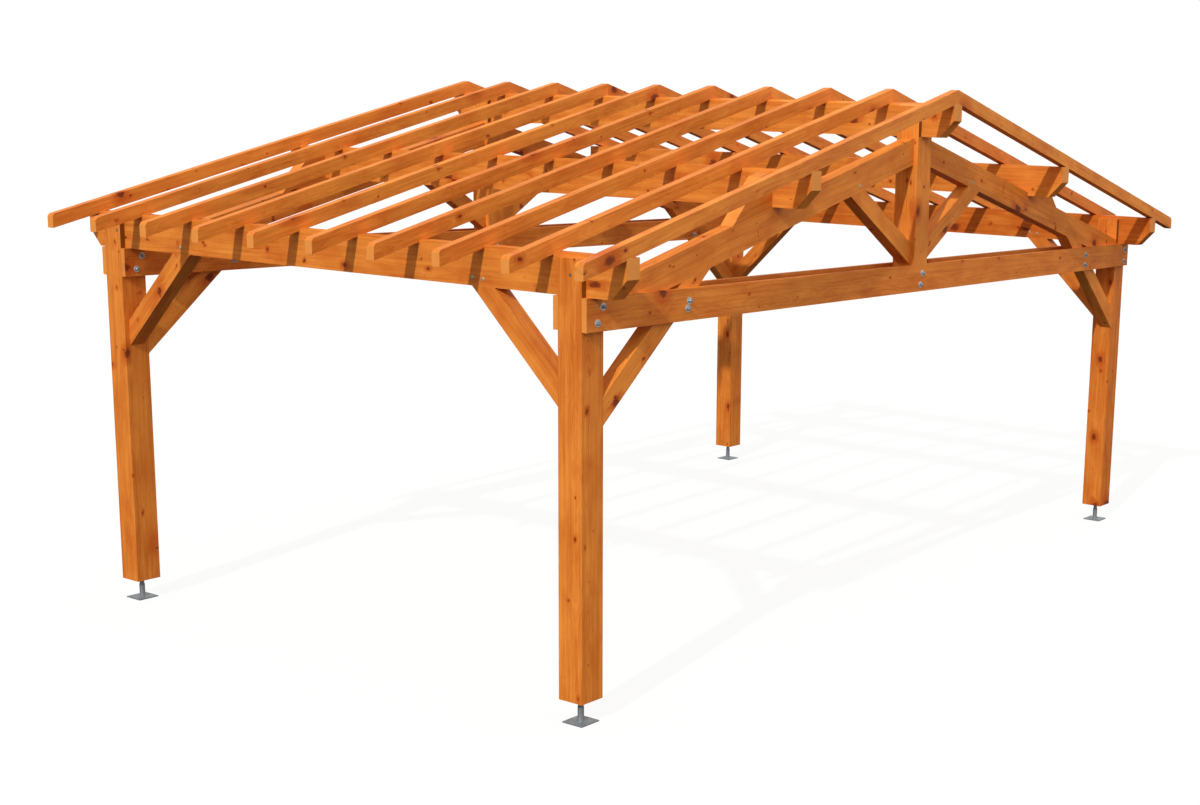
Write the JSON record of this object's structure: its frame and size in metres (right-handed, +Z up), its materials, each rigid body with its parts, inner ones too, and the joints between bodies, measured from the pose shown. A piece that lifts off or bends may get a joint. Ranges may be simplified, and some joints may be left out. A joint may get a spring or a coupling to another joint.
{
  "type": "timber carport",
  "caption": "Open timber carport frame with a low gabled roof: forked posts on steel feet, king-post trusses, purlins, braces and bare rafters.",
  "frame": {"origin": "on the floor, under the middle of the roof", "axes": "+X across the gable to the right as seen from the front, +Y along the ridge to the rear, +Z up; the front gable is at -Y"},
  "size_m": [8.6, 5.47, 4.1668],
  "materials": {
    "glazed_softwood": "orange wood glaze on planed softwood, satin",
    "galvanised_steel": "hot-dip galvanised, dull"
  },
  "bodies": {
    "root": {"post_front_left": "glazed_softwood", "chord_front_left": "glazed_softwood", "strut_front_left": "glazed_softwood", "gable_brace_front_left": "glazed_softwood", "eaves_brace_front_left": "glazed_softwood", "post_front_right": "glazed_softwood", "chord_front_right": "glazed_softwood", "strut_front_right": "glazed_softwood", "gable_brace_front_right": "glazed_softwood", "eaves_brace_front_right": "glazed_softwood", "post_rear_left": "glazed_softwood", "chord_rear_left": "glazed_softwood", "strut_rear_left": "glazed_softwood", "gable_brace_rear_left": "glazed_softwood", "eaves_brace_rear_left": "glazed_softwood", "post_rear_right": "glazed_softwood", "chord_rear_right": "glazed_softwood", "strut_rear_right": "glazed_softwood", "gable_brace_rear_right": "glazed_softwood", "eaves_brace_rear_right": "glazed_softwood", "king_post_front": "glazed_softwood", "purlin_cleats_front": "glazed_softwood", "front_outer_tie": "glazed_softwood", "front_inner_tie": "glazed_softwood", "king_post_rear": "glazed_softwood", "purlin_cleats_rear": "glazed_softwood", "rear_outer_tie": "glazed_softwood", "rear_inner_tie": "glazed_softwood", "eaves_purlin_left": "glazed_softwood", "mid_purlin_left": "glazed_softwood", "left_rafters": "glazed_softwood", "eaves_purlin_right": "glazed_softwood", "mid_purlin_right": "glazed_softwood", "right_rafters": "glazed_softwood", "ridge_purlin": "glazed_softwood", "foot_front_left": "galvanised_steel", "foot_front_right": "galvanised_steel", "foot_rear_left": "galvanised_steel", "foot_rear_right": "galvanised_steel"}
  },
  "joints": []
}
